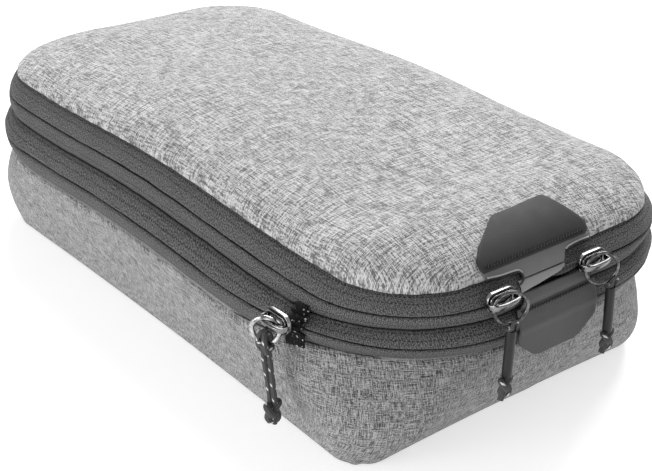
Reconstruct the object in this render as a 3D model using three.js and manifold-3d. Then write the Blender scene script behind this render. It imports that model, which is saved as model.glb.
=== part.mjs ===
// Packing cube: a stuffed clamshell travel pouch with a compression zip, in millimetres.
// +X is across, +Y runs from the short front side with the tabs to the rear side, +Z is up.
// The origin is the middle of the base panel's underside.
import * as THREE from 'three';
import { mergeVertices } from 'three/addons/utils/BufferGeometryUtils.js';
import Module from 'manifold-3d';

const wasm = await Module();
wasm.setup();

// ---- driving dimensions ----
const FABRIC = 1.6; // wall thickness of every sewn panel and tape
const GAP = 0.3; // clearance between neighbouring pieces
const ARCH = 4.2; // how far the zips rise along the middle of the long sides
const ARCH_REACH = 112; // half-length of that rise
const BOW = 0.018; // outward bow of the four sides
const BULGE = 0.8; // roundness of each zip tape
const LID_RISE = 14; // crown of the lid above its edge
const LID_FULLNESS = 4; // exponent of the crown's section
const EXPANSION = 0; // opening of the compression zip as built

// Rounded rectangles that the walls pass through: height, half-width, half-length, corner radius.
const BASE = { z: 0, w: 88, l: 150, r: 16, lift: 0 };
const WALL_LOW = { z: 12, w: 92, l: 160, r: 28, lift: 0 };
const WALL_MIDDLE = { z: 27, w: 96, l: 167, r: 44, lift: 0 };
const WALL_HIGH = { z: 40, w: 99.5, l: 169.5, r: 64, lift: 0.6 };
const WALL_TOP = { z: 51, w: 101, l: 171, r: 80, lift: 1 };
const LOWER_ZIP = { z: 59.5, w: 99.5, l: 174, r: 72, lift: 1 };
const MID_SEAM = { z: 67, w: 93, l: 172, r: 62, lift: 1 };
const UPPER_ZIP = { z: 74.5, w: 88.5, l: 170.5, r: 50, lift: 1 };
const LID_EDGE = { z: 82.5, w: 82, l: 166, r: 38, lift: 1 };

const LOOPS = [
  BASE, WALL_LOW, WALL_MIDDLE, WALL_HIGH, WALL_TOP, LOWER_ZIP, MID_SEAM, UPPER_ZIP, LID_EDGE,
];

const CORNER_STEPS = 6;
const LONG_STEPS = 6;
const SHORT_STEPS = 4;

const COIL_DEPTH = 2; // zip coils lie on the inside of the tapes
const COIL_HEIGHT = 2.3;
const BINDING_DEPTH = 1.2;
const BINDING_HEIGHT = 4.2;
const GUSSET_INSET = 5;
const GUSSET_HEIGHT = 13;

const TAB_THICK = 1.2;
const FRONT_X = -4; // middle of the tabs and main sliders along the front side
const NECK_HALF = 14; // half-width of the strip that folds over the mouth
const NECK_FRONT = -190; // beyond the front side, where the strip's cutter ends
const TAB_FOOT = { y: -168, half: 27 }; // lid tab's lower edge
const TAB_SHOULDER = { y: -161, half: 28 };
const TAB_TOP = { y: -144, half: 14.5 };
const FLAP_HALF = 22;
const FLAP_BOTTOM = 44;
const FLAP_CHAMFER = { x: 9, z: 10 };
const FLAP_DIP = 2; // the middle of the flap's lower edge hangs this much lower
const FLAP_SHOULDER = { low: 67, high: 69 }; // where the flap narrows to the strip
const END_TAB = { y: -118, wide: 12, low: 51.5, high: 66.5 }; // over the end of the compression zip
const SHEET_BENDS = [63.2, 70.8]; // middles of the two tapes that the hanging sheets follow

const SLIDERS_X = -9; // midway between the main sliders, parked either side of the tabs
const SLIDER_X = 27;
const SLIDER_HALF = 7.6;
const SLIDER_TALL = 9;
const PLATE = 1.9;
const BAR_OUT = 6; // bail's bar, out from the slider's back
const BAR_UP = 1.5;
const BAR_R = 0.7;
const BAIL_HALF = 7.2;
const BAIL_LEG = 1.2;
const RING_R = 6.8;
const RING_WIRE = 0.85;
const RING_DROP = 4.75; // ring's centre below the bar
const RING_YAW = THREE.MathUtils.degToRad(25);
const MAIN_SLIDER_Y = -174.5;
const MAIN_SLIDER_UP = 3; // above the zip's line, as the puller tips it
const SIDE_SLIDER = { x: -103, y: -114, z: 63 };

const CORD_R = 1.3;
const SLEEVE = { inner: 1.65, outer: 2.2, from: -3.4, to: -27.4 };
const KNOT_R = 3.3;

// ---- finishes ----
const finish = (color, roughness, metalness = 0) =>
  new THREE.MeshStandardMaterial({ color, roughness, metalness });
const lightWeave = finish(0xa3a3a3, 0.9);
const wallWeave = finish(0x8a8a8a, 0.9);
const lining = finish(0x9b9b9b, 0.85);
const zipTape = finish(0x5a5a5a, 0.85);
const nylonCoil = finish(0x1c1c1c, 0.5);
const tabSheet = finish(0x4c4c4c, 0.7);
const blackWebbing = finish(0x1b1b1b, 0.8);
const gunmetal = finish(0x3c3c3f, 0.3, 1);
const brightSteel = finish(0x8f8f92, 0.25, 1);
const braid = finish(0x333333, 0.85);
const rubberSleeve = finish(0x1a1a1a, 0.45);

// ---- lofted bodies ----

// Places around a rounded rectangle: the corner centre that each belongs to, and its outward normal.
function placesAround() {
  const corners = [[1, -1], [1, 1], [-1, 1], [-1, -1]];
  const places = [];
  corners.forEach(([cx, cy], k) => {
    const start = (k - 1) * (Math.PI / 2);
    for (let i = 0; i <= CORNER_STEPS; i += 1) {
      const angle = start + (i / CORNER_STEPS) * (Math.PI / 2);
      places.push({ cx, cy, nx: Math.cos(angle), ny: Math.sin(angle) });
    }
    const [ex, ey] = corners[(k + 1) % 4];
    const angle = start + Math.PI / 2;
    const steps = k % 2 === 0 ? LONG_STEPS : SHORT_STEPS;
    for (let i = 1; i < steps; i += 1) {
      const t = i / steps;
      places.push({
        cx: cx + (ex - cx) * t, cy: cy + (ey - cy) * t, nx: Math.cos(angle), ny: Math.sin(angle),
      });
    }
  });
  return places;
}
const PLACES = placesAround();

function pointOn(station, place) {
  const { w, l, r, z, lift } = station;
  const x = place.cx * (w - r) + place.nx * r;
  const y = place.cy * (l - r) + place.ny * r;
  if (w < 1) return [x, y, z];
  const reach = Math.min(1, Math.abs(y) / ARCH_REACH);
  return [
    x * (1 + BOW * (1 - (y / l) ** 2)),
    y * (1 + 0.7 * BOW * Math.max(0, 1 - (x / w) ** 2)),
    z + lift * ARCH * Math.cos((reach * Math.PI) / 2) ** 2,
  ];
}

// A lathe whose turns follow rounded rectangles in place of circles.
function loft(stations) {
  const profile = stations.map((s) => new THREE.Vector2(Math.max(s.w, 0), s.z));
  const geometry = new THREE.LatheGeometry(profile, PLACES.length);
  const position = geometry.attributes.position;
  for (let i = 0; i <= PLACES.length; i += 1) {
    stations.forEach((station, j) => {
      const point = pointOn(station, PLACES[i % PLACES.length]);
      position.setXYZ(i * stations.length + j, ...point);
    });
  }
  return geometry;
}

const offset = (s, out, z = s.z) => ({ ...s, z, w: s.w + out, l: s.l + out, r: s.r + out });

// The wall's loop at any height, moved outwards by `out`.
function at(z, out = 0) {
  const k = Math.max(1, LOOPS.findIndex((loop) => loop.z >= z - 1e-9));
  const [a, b] = [LOOPS[k - 1], LOOPS[k]];
  const t = (z - a.z) / (b.z - a.z);
  const mix = (key) => a[key] + (b[key] - a[key]) * t;
  return offset({ z, w: mix('w'), l: mix('l'), r: mix('r'), lift: mix('lift') }, out);
}

// A closed wall that goes all round: outer stations going up, inner ones coming down.
function wall(outer, thickness = FABRIC) {
  const inner = outer.map((s) => offset(s, -thickness)).reverse();
  return loft([...outer, ...inner, outer[0]]);
}

// One zip tape between two loops, slightly rounded outwards.
function tape(a, b) {
  const low = a.z + GAP;
  const high = b.z - GAP;
  const middle = (low + high) / 2;
  return wall([at(low), at(middle, BULGE), at(high)]);
}

// A narrow band that runs all round behind a wall, such as a coil or a seam binding.
function innerBand(heights, depth, inset = FABRIC + GAP) {
  return wall(heights.map((z) => at(z, -inset)), depth);
}

// ---- joins and cuts ----

function toManifold(geometry) {
  const bare = geometry.clone();
  bare.deleteAttribute('normal');
  bare.deleteAttribute('uv');
  const merged = mergeVertices(bare, 1e-4);
  const index = [];
  const source = merged.index.array;
  for (let i = 0; i < source.length; i += 3) {
    const [a, b, c] = [source[i], source[i + 1], source[i + 2]];
    if (a !== b && b !== c && c !== a) index.push(a, b, c);
  }
  return new wasm.Manifold(new wasm.Mesh({
    numProp: 3,
    vertProperties: new Float32Array(merged.attributes.position.array),
    triVerts: new Uint32Array(index),
  }));
}

function toGeometry(manifold) {
  const mesh = manifold.getMesh();
  const geometry = new THREE.BufferGeometry();
  geometry.setAttribute('position', new THREE.BufferAttribute(new Float32Array(mesh.vertProperties), 3));
  geometry.setIndex(new THREE.BufferAttribute(new Uint32Array(mesh.triVerts), 1));
  geometry.computeVertexNormals();
  return geometry;
}

const joined = (...parts) => toGeometry(parts.map(toManifold).reduce((sum, part) => sum.add(part)));
const common = (a, b) => toGeometry(toManifold(a).intersect(toManifold(b)));

const CUTTER = 60; // depth of the prisms that cut the tabs out of a sheet

function polygon(points) {
  return new THREE.Shape(points.map(([x, y]) => new THREE.Vector2(x, y)));
}

const prism = (shape, depth) =>
  new THREE.ExtrudeGeometry(shape, { depth, bevelEnabled: false, curveSegments: 6 });

// ---- the scene graph ----

const cube = new THREE.Group();

function piece(name, geometry, material, parent = cube) {
  const mesh = new THREE.Mesh(geometry, material);
  mesh.name = name;
  parent.add(mesh);
  return mesh;
}

// Tub: base panel, wall and the lower half of the compression zip.
function addTub() {
  const pole = (z) => ({ z, w: 0, l: 0, r: 0, lift: 0 });
  const panelTop = { ...BASE, z: FABRIC };
  piece('base_panel', loft([pole(0), BASE, panelTop, pole(FABRIC)]), wallWeave);
  const foot = at(FABRIC + GAP);
  const rim = at(WALL_TOP.z - GAP / 2);
  piece('tub_wall', wall([foot, WALL_LOW, WALL_MIDDLE, WALL_HIGH, rim]), wallWeave);
  const low = foot.z;
  const binding = innerBand([low, low + BINDING_HEIGHT], BINDING_DEPTH, FABRIC + 3 * GAP);
  piece('base_seam_binding', binding, blackWebbing);
  piece('compression_zip_tape_lower', tape(WALL_TOP, LOWER_ZIP), zipTape);
  const coilTop = LOWER_ZIP.z - GAP;
  const coil = innerBand([coilTop - COIL_HEIGHT, coilTop], COIL_DEPTH);
  piece('compression_zip_coil_lower', coil, nylonCoil);
  const gussetHeights = [-1, 0, 1].map((side) => LOWER_ZIP.z + (side * GUSSET_HEIGHT) / 2);
  const gusset = innerBand(gussetHeights, FABRIC, GUSSET_INSET);
  piece('expansion_gusset', gusset, lining);
}

// Stations of a sheet that follows the band down to the lower zip, and then hangs straight.
function hangingSheet(top, bottom, out) {
  const hem = { ...offset(LOWER_ZIP, GAP + out), lift: 0 };
  const onTapes = SHEET_BENDS.filter((z) => z < top).map((z) => at(z, BULGE + GAP + out));
  return [{ ...hem, z: bottom }, hem, ...onTapes, at(top, BULGE / 2 + GAP + out)];
}

// A piece cut from a thin sheet that stands off the outside of the cube.
function sheetPiece(stationsAt, cutter) {
  const outer = stationsAt(TAB_THICK);
  const inner = stationsAt(0).reverse();
  return common(loft([...outer, ...inner, outer[0]]), cutter);
}

// Band between the two zips.
function addMidBand(group) {
  piece('compression_zip_tape_upper', tape(LOWER_ZIP, MID_SEAM), zipTape, group);
  const coilLow = LOWER_ZIP.z + GAP;
  const lowerCoil = innerBand([coilLow, coilLow + COIL_HEIGHT], COIL_DEPTH);
  piece('compression_zip_coil_upper', lowerCoil, nylonCoil, group);
  const seamHeights = [-1, 0, 1].map((side) => MID_SEAM.z + (side * BINDING_HEIGHT) / 2);
  const seam = innerBand(seamHeights, BINDING_DEPTH, FABRIC + 3 * GAP);
  piece('mid_seam_binding', seam, blackWebbing, group);
  piece('main_zip_tape_lower', tape(MID_SEAM, UPPER_ZIP), zipTape, group);
  const coilTop = UPPER_ZIP.z - GAP;
  const upperCoil = innerBand([coilTop - COIL_HEIGHT, coilTop], COIL_DEPTH);
  piece('main_zip_coil_lower', upperCoil, nylonCoil, group);

  // Front flap: a chamfered sheet below the mouth, over the compression zip.
  const { low, high } = FLAP_SHOULDER;
  const top = UPPER_ZIP.z - 2 * GAP;
  const foot = FLAP_BOTTOM + FLAP_DIP;
  const cornerX = FLAP_HALF - FLAP_CHAMFER.x;
  const cornerZ = FLAP_BOTTOM + FLAP_CHAMFER.z;
  const outline = polygon([
    [-cornerX, foot], [0, FLAP_BOTTOM], [cornerX, foot], [FLAP_HALF, cornerZ], [FLAP_HALF, low],
    [NECK_HALF, high], [NECK_HALF, top], [-NECK_HALF, top], [-NECK_HALF, high], [-FLAP_HALF, low],
    [-FLAP_HALF, cornerZ],
  ]);
  const flapCutter = prism(outline, CUTTER).rotateX(Math.PI / 2).translate(FRONT_X, -140, 0);
  const flap = sheetPiece((out) => hangingSheet(top + 0.5, FLAP_BOTTOM - 1, out), flapCutter);
  piece('front_flap', flap, tabSheet, group);

  // Woven tab that covers the end of the compression zip.
  const { wide } = END_TAB;
  const tabOutline = polygon([
    [0, END_TAB.low], [wide, END_TAB.low], [wide, END_TAB.high], [0, END_TAB.high],
  ]);
  const tabCutter = prism(tabOutline, CUTTER).rotateX(Math.PI / 2).rotateZ(-Math.PI / 2)
    .translate(-CUTTER, END_TAB.y, 0);
  const hang = (out) => hangingSheet(END_TAB.high + 0.4, END_TAB.low - 1.5, out + GAP);
  piece('compression_zip_end_tab', sheetPiece(hang, tabCutter), blackWebbing, group);
}

// Crowned lid surface, from its edge to the middle.
function crown(out) {
  const shares = [0.985, 0.95, 0.88, 0.76, 0.58, 0.32];
  const edge = offset(LID_EDGE, out);
  const stations = shares.map((share) => ({
    z: edge.z + (LID_RISE + out) * (1 - share ** LID_FULLNESS) ** 0.5,
    w: edge.w * share, l: edge.l * share, r: edge.r * share, lift: 1,
  }));
  return [{ ...edge, z: edge.z + GAP }, ...stations];
}

// Lid: crowned panel and the upper half of the main zip.
function addLid(group) {
  const pole = (out) => ({ z: LID_EDGE.z + LID_RISE + out + ARCH, w: 0, l: 0, r: 0, lift: 0 });
  const outside = crown(0);
  const inside = crown(-FABRIC).reverse();
  piece('lid_panel', loft([pole(-FABRIC), ...inside, ...outside, pole(0)]), lightWeave, group);
  piece('main_zip_tape_upper', tape(UPPER_ZIP, LID_EDGE), zipTape, group);
  const coilLow = UPPER_ZIP.z + GAP;
  const coil = innerBand([coilLow, coilLow + COIL_HEIGHT], COIL_DEPTH);
  piece('main_zip_coil_upper', coil, nylonCoil, group);
  const bindingTop = LID_EDGE.z - 2 * GAP;
  const binding = innerBand([bindingTop - BINDING_HEIGHT, bindingTop], BINDING_DEPTH, FABRIC + 3 * GAP);
  piece('lid_seam_binding', binding, blackWebbing, group);

  // Lid tab: a shield on the lid, with a neck that folds down to the mouth.
  const outline = polygon([
    [-NECK_HALF, NECK_FRONT], [NECK_HALF, NECK_FRONT], [NECK_HALF, TAB_FOOT.y],
    [TAB_FOOT.half, TAB_FOOT.y], [TAB_SHOULDER.half, TAB_SHOULDER.y], [TAB_TOP.half, TAB_TOP.y],
    [-TAB_TOP.half, TAB_TOP.y], [-TAB_SHOULDER.half, TAB_SHOULDER.y], [-TAB_FOOT.half, TAB_FOOT.y],
    [-NECK_HALF, TAB_FOOT.y],
  ]);
  const cutter = prism(outline, CUTTER).translate(FRONT_X, 0, CUTTER);
  const stationsAt = (out) => {
    const off = BULGE + GAP + out;
    return [
      at(UPPER_ZIP.z + 0.6, off),
      at(LID_EDGE.z, off),
      ...crown(GAP + out).slice(1).map((s, i) => (i === 0 ? offset(s, BULGE / 2) : s)),
    ];
  };
  piece('lid_tab', sheetPiece(stationsAt, cutter), tabSheet, group);
}

// Zip slider in its own frame: travel along X, outwards along -Y. The bail spans the plate.
function sliderGeometry() {
  const h = SLIDER_TALL / 2;
  const plateOutline = polygon([
    [-SLIDER_HALF, -h + 2.4], [-SLIDER_HALF + 3, -h], [SLIDER_HALF - 3, -h], [SLIDER_HALF, -h + 2.4],
    [SLIDER_HALF, h - 2.4], [SLIDER_HALF - 3, h], [-SLIDER_HALF + 3, h], [-SLIDER_HALF, h - 2.4],
  ]);
  const plate = prism(plateOutline, PLATE).rotateX(Math.PI / 2);
  const top = BAR_OUT + BAR_R;
  const root = PLATE - 0.2;
  const arch = polygon([
    [-BAIL_HALF, root], [-BAIL_HALF, top - 1.6], [-BAIL_HALF + 1.6, top], [BAIL_HALF - 1.6, top],
    [BAIL_HALF, top - 1.6], [BAIL_HALF, root], [BAIL_HALF - BAIL_LEG, root],
    [BAIL_HALF - BAIL_LEG, BAR_OUT - BAR_R], [-BAIL_HALF + BAIL_LEG, BAR_OUT - BAR_R], [-BAIL_HALF + BAIL_LEG, root],
  ]);
  const bail = prism(arch, 2 * BAR_R).scale(1, -1, 1);
  const flipped = flipFaces(bail).translate(0, 0, BAR_UP - BAR_R);
  return joined(plate, flipped);
}

// A mirrored shape is inside out until each face's corners are taken the other way round.
function flipFaces(geometry) {
  const p = geometry.attributes.position;
  for (let i = 0; i < p.count; i += 3) {
    const [x, y, z] = [p.getX(i), p.getY(i), p.getZ(i)];
    p.setXYZ(i, p.getX(i + 1), p.getY(i + 1), p.getZ(i + 1));
    p.setXYZ(i + 1, x, y, z);
  }
  return geometry;
}

function cordGeometry(route, radius) {
  const points = route.map((p) => new THREE.Vector3(...p));
  const path = new THREE.CatmullRomCurve3(points);
  const section = new THREE.Shape();
  section.absarc(0, 0, radius, 0, 2 * Math.PI);
  const steps = Math.max(4, Math.round(path.getLength() / (5 * radius)));
  return new THREE.ExtrudeGeometry(section, { steps, curveSegments: 4, extrudePath: path });
}

function knotGeometry(radius, tail) {
  const ball = new THREE.SphereGeometry(radius, 10, 7).scale(1, 0.75, 1.1);
  const end = new THREE.CylinderGeometry(1.1, 1.2, tail, 8).rotateX(Math.PI / 2);
  return joined(ball, end.rotateY(0.5).translate(-0.34 * tail, 0, -radius - 0.3 * tail));
}

// Slider, swinging ring and cord pull. `place` stands on the zip, facing outwards along its -Y.
function addPull(name, group, kind) {
  piece(`${name}_slider`, sliderGeometry(), kind.metal, group);
  const ringCentre = [0, -BAR_OUT, BAR_UP - RING_DROP];
  const ring = piece(`${name}_ring`, new THREE.TorusGeometry(RING_R, RING_WIRE, 8, 24), kind.metal, group);
  ring.position.set(...ringCentre);
  ring.rotation.set(Math.PI / 2, 0, -RING_YAW, 'ZYX');
  const pull = new THREE.Group();
  pull.position.set(0, -BAR_OUT, BAR_UP - RING_DROP - RING_R);
  group.add(pull);
  kind.addCord(name, pull);
}

function sleevedCord(name, pull) {
  const knotTop = SLEEVE.to - 1;
  piece(`${name}_cord`, cordGeometry([[0, 0, -1.5], [0, 0, -14], [0, 0, knotTop + GAP]], CORD_R), braid, pull);
  const profile = [
    [SLEEVE.inner, SLEEVE.to], [SLEEVE.outer, SLEEVE.to], [SLEEVE.outer, SLEEVE.from],
    [SLEEVE.inner, SLEEVE.from], [SLEEVE.inner, SLEEVE.to],
  ].map(([x, y]) => new THREE.Vector2(x, y));
  piece(`${name}_sleeve`, new THREE.LatheGeometry(profile, 10).rotateX(Math.PI / 2), rubberSleeve, pull);
  const knot = piece(`${name}_knot`, knotGeometry(KNOT_R, 5), braid, pull);
  knot.position.set(0, 0, knotTop - 1.1 * KNOT_R);
}

function bareCord(name, pull) {
  const length = 25;
  const hitch = piece(`${name}_hitch`, new THREE.SphereGeometry(2.6, 10, 7), braid, pull);
  hitch.position.set(0, 0, -4);
  const route = [[0, 0, -6.9], [0.2, 0, -13], [0.5, 0, -19], [0.6, 0, -length + GAP]];
  piece(`${name}_cord`, cordGeometry(route, 1.9), braid, pull);
  const knot = piece(`${name}_knot`, knotGeometry(3.8, 5), braid, pull);
  knot.position.set(0.6, 0, -length - 1.1 * 3.8);
}

function addPulls(group) {
  for (const [name, side] of [['main_left', -1], ['main_right', 1]]) {
    const place = new THREE.Group();
    place.position.set(SLIDERS_X + side * SLIDER_X, MAIN_SLIDER_Y, UPPER_ZIP.z + MAIN_SLIDER_UP);
    group.add(place);
    addPull(name, place, { metal: gunmetal, addCord: sleevedCord });
  }
  const place = new THREE.Group();
  place.position.set(SIDE_SLIDER.x, SIDE_SLIDER.y, SIDE_SLIDER.z);
  place.rotation.z = -Math.PI / 2;
  cube.add(place);
  addPull('compression', place, { metal: brightSteel, addCord: bareCord });
}

const raised = new THREE.Group(); // everything above the compression zip
raised.position.z = EXPANSION;
cube.add(raised);
addTub();
addMidBand(raised);
addLid(raised);
addPulls(raised);

export default cube;
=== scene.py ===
"""Packing cube: a stuffed clamshell travel pouch of heather cloth with a double zip band, in metres."""
import math

import bpy
import bmesh
import numpy as np
from mathutils import Matrix, Vector, noise


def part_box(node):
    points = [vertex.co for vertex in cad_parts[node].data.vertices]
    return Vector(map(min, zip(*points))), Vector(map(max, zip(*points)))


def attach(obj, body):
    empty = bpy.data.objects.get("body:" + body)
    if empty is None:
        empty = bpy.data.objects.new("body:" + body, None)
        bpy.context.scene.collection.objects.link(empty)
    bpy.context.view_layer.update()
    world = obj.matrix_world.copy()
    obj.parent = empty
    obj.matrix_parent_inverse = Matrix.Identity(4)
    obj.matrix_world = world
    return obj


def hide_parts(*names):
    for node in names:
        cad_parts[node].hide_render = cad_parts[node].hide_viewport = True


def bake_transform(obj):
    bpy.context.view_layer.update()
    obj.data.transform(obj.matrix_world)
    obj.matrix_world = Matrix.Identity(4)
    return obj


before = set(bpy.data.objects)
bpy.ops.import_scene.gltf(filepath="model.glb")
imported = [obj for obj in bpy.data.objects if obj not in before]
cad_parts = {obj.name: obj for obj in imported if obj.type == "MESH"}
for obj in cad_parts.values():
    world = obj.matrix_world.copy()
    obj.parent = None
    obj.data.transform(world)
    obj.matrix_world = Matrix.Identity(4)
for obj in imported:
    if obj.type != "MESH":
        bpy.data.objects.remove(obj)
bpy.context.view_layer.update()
MM = 0.001


# ---- Camera, light and floor ----
# The cube lies on a plain pale floor in a bright soft tent of light.
AZIMUTH, ELEVATION = math.radians(-38.1), math.radians(28.0)
LOOK_AT = Vector((0.0025, -0.0147, 0.0259))
AWAY = 0.756
camera_data = bpy.data.cameras.new("camera")
camera_data.sensor_width = 36
camera_data.lens = 83.6
camera_data.clip_start, camera_data.clip_end = 0.01, 20
camera = bpy.data.objects.new("camera", camera_data)
bpy.context.scene.collection.objects.link(camera)
back = Vector((
    math.sin(AZIMUTH) * math.cos(ELEVATION),
    -math.cos(AZIMUTH) * math.cos(ELEVATION),
    math.sin(ELEVATION),
))
camera.location = LOOK_AT + back * AWAY
camera.rotation_euler = (-back).to_track_quat("-Z", "Y").to_euler()
bpy.context.scene.camera = camera

world = bpy.data.worlds.new("tent")
world.use_nodes = True
world.node_tree.nodes["Background"].inputs["Color"].default_value = (1, 1, 1, 1)
world.node_tree.nodes["Background"].inputs["Strength"].default_value = 0.55
bpy.context.scene.world = world
bpy.context.scene.view_settings.view_transform = "Standard"


def soft_box(name, place, size, watts):
    data = bpy.data.lights.new(name, "AREA")
    data.shape, data.size, data.energy = "SQUARE", size, watts
    lamp = bpy.data.objects.new(name, data)
    bpy.context.scene.collection.objects.link(lamp)
    lamp.location = place
    lamp.rotation_euler = (-Vector(place)).to_track_quat("-Z", "Y").to_euler()


soft_box("overhead", (0.95, 0.65, 1.35), 1.2, 44)
soft_box("left", (-1.75, 0.15, 0.42), 1.0, 19)

FLOOR_REACH, FLOOR_DROP = 6.0, 0.0004
floor_mesh = bpy.data.meshes.new("floor")
floor_mesh.from_pydata(
    [(x * FLOOR_REACH, y * FLOOR_REACH, 0) for x, y in ((-1, -1), (1, -1), (1, 1), (-1, 1))],
    [], [(0, 1, 2, 3)],
)
floor = bpy.data.objects.new("floor", floor_mesh)
bpy.context.scene.collection.objects.link(floor)
floor.location.z = -FLOOR_DROP
floor_finish = bpy.data.materials.new("floor")
floor_finish.use_nodes = True
floor_shader = floor_finish.node_tree.nodes["Principled BSDF"]
for socket, value in (
    ("Base Color", (0.6, 0.6, 0.6, 1)), ("Emission Color", (1, 1, 1, 1)), ("Emission Strength", 0.6),
    ("Roughness", 0.9),
):
    floor_shader.inputs[socket].default_value = value
floor_mesh.materials.append(floor_finish)


# ---- Cord pulls ----
# Each main slider's ring carries a short round cord, cow-hitched on, with a smooth rubber sleeve over
# it and an overhand knot at the end. The compression slider's pull is two bare strands of the same cord.
class Wire:
    """One output socket, so that a sum of shader nodes reads as a sum."""

    def __init__(self, finish, socket):
        self.finish, self.socket = finish, socket

    def math(self, operation, *others):
        return self.finish.node("ShaderNodeMath", {"operation": operation}, [self, *others])

    def __add__(self, other):
        return self.math("ADD", other)

    def __sub__(self, other):
        return self.math("SUBTRACT", other)

    def __mul__(self, other):
        return self.math("MULTIPLY", other)

    def __rsub__(self, other):
        return self.finish.node("ShaderNodeMath", {"operation": "SUBTRACT"}, [other, self])

    __radd__, __rmul__ = __add__, __mul__

    def output(self, index):
        """Another output of the same node."""
        return Wire(self.finish, self.socket.node.outputs[index])

    def wave(self, per_metre):
        """0 to 1 and back, so many times a metre."""
        return (self * (2 * math.pi * per_metre)).math("SINE") * 0.5 + 0.5

    def between(self, low, high):
        """0 at low, 1 at high, clamped."""
        return self.finish.node("ShaderNodeMapRange", {}, [self, low, high, 0.0, 1.0])


class Finish:
    """A node material with one Principled shader."""

    def __init__(self, name, **constants):
        self.material = bpy.data.materials.new(name)
        self.material.use_nodes = True
        self.tree = self.material.node_tree
        self.shader = self.tree.nodes["Principled BSDF"]
        self.feed(**constants)

    def node(self, kind, settings=None, inputs=(), output=0):
        new = self.tree.nodes.new(kind)
        for key, value in (settings or {}).items():
            setattr(new, key, value)
        pairs = inputs.items() if isinstance(inputs, dict) else enumerate(inputs)
        for key, value in pairs:
            self.join(new.inputs[key], value)
        return Wire(self, new.outputs[output])

    def join(self, socket, value):
        if isinstance(value, Wire):
            self.tree.links.new(value.socket, socket)
        else:
            socket.default_value = value

    def feed(self, **values):
        for name, value in values.items():
            self.join(self.shader.inputs[name.replace("_", " ")], value)

    def mix(self, share, first, second):
        return self.node(
            "ShaderNodeMix", {"data_type": "RGBA"}, {0: share, 6: grey(first), 7: grey(second)}, 2
        )

    def noise(self, at, scale, detail=2.0, stretch=(1, 1, 1), turn=0.0):
        placed = self.node(
            "ShaderNodeMapping", {}, {"Vector": at, "Scale": stretch, "Rotation": (0, 0, turn)}
        )
        return self.node("ShaderNodeTexNoise", {}, {"Vector": placed, "Scale": scale, "Detail": detail})

    def bump(self, height, distance, strength=1.0):
        normal = self.node(
            "ShaderNodeBump", {}, {"Height": height, "Distance": distance, "Strength": strength}
        )
        self.feed(Normal=normal)


def grey(value):
    """A grey from one number, or what it is given."""
    return (value, value, value, 1) if isinstance(value, (int, float)) else value


PLAITS_A_METRE, PLAITS_ROUND, TRACERS_A_METRE = 900, 4, 145


def braid_finish(name):
    """Black braided cord with a few pale tracer threads."""
    made = Finish(name, Roughness=0.8)
    at = made.node("ShaderNodeTexCoord", output="UV")
    split = made.node("ShaderNodeSeparateXYZ", {}, [at])
    along, angle = split.output(1) * (2 * math.pi), split * (2 * math.pi)
    plait = (along * PLAITS_A_METRE + angle * PLAITS_ROUND).math("SINE")
    cross = (along * PLAITS_A_METRE - angle * PLAITS_ROUND).math("SINE")
    strands = (plait * cross) * 0.5 + 0.5
    tracer = (along * TRACERS_A_METRE + angle).math("SINE").between(0.86, 0.93)
    speck = tracer * (angle * 3).math("SINE").between(0.1, 0.4)
    made.feed(Base_Color=made.mix(speck, made.mix(strands, 0.022, 0.085), 0.62))
    made.bump(strands, 0.00018)
    return made.material


def tube(name, path, radius, around=14, uv_from=0.0):
    """A closed tube along a path, with UV x round it and y along it in metres."""
    points = [Vector(p) for p in path]
    bm = bmesh.new()
    layer = bm.loops.layers.uv.new("UVMap")
    rings, run, side = [], [uv_from], None
    for i, p in enumerate(points):
        ahead = (points[min(i + 1, len(points) - 1)] - points[max(i - 1, 0)]).normalized()
        if side is None:
            side = ahead.orthogonal().normalized()
        side = (side - ahead * side.dot(ahead)).normalized()
        other = ahead.cross(side)
        wide = radius(i / (len(points) - 1)) if callable(radius) else radius
        rings.append([
            bm.verts.new(p + (side * math.cos(a) + other * math.sin(a)) * wide)
            for a in (2 * math.pi * k / around for k in range(around))
        ])
        if i:
            run.append(run[-1] + (p - points[i - 1]).length)
    for i in range(len(rings) - 1):
        for k in range(around):
            n = (k + 1) % around
            face = bm.faces.new((rings[i][k], rings[i][n], rings[i + 1][n], rings[i + 1][k]))
            for loop, (u, v) in zip(
                face.loops,
                ((k, run[i]), (k + 1, run[i]), (k + 1, run[i + 1]), (k, run[i + 1])),
            ):
                loop[layer].uv = (u / around, v)
    bm.faces.new(list(reversed(rings[0])))
    bm.faces.new(rings[-1])
    return shown(name, bm)


def shown(name, bm):
    """A bmesh as an object in the scene, smooth shaded with outward faces."""
    bmesh.ops.recalc_face_normals(bm, faces=bm.faces)
    mesh = bpy.data.meshes.new(name)
    bm.to_mesh(mesh)
    bm.free()
    for polygon in mesh.polygons:
        polygon.use_smooth = True
    made = bpy.data.objects.new(name, mesh)
    bpy.context.scene.collection.objects.link(made)
    return made


def joined(name, tubes):
    """Several tubes as one piece."""
    bm = bmesh.new()
    bm.loops.layers.uv.new("UVMap")
    for part in tubes:
        bm.from_mesh(part.data)
        bpy.data.objects.remove(part)
    return shown(name, bm)


def fitted(piece, material, body, slot, *nodes):
    """A finished piece: its finish, the body that it rides on, and the CAD nodes that it stands for."""
    piece.data.materials.clear()
    piece.data.materials.append(material)
    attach(piece, body)
    if nodes:
        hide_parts(*nodes)
    return piece


def smooth_path(corners, steps):
    """A smooth curve through points."""
    pts = [Vector(p) for p in corners]
    pts = [pts[0] * 2 - pts[1]] + pts + [pts[-1] * 2 - pts[-2]]
    out = []
    for a, b, c, d in zip(pts, pts[1:], pts[2:], pts[3:]):
        for k in range(steps):
            t = k / steps
            out.append(
                0.5 * ((2 * b) + (c - a) * t + (2 * a - 5 * b + 4 * c - d) * t ** 2
                       + (3 * b - a - 3 * c + d) * t ** 3)
            )
    out.append(pts[-2])
    return out


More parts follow.
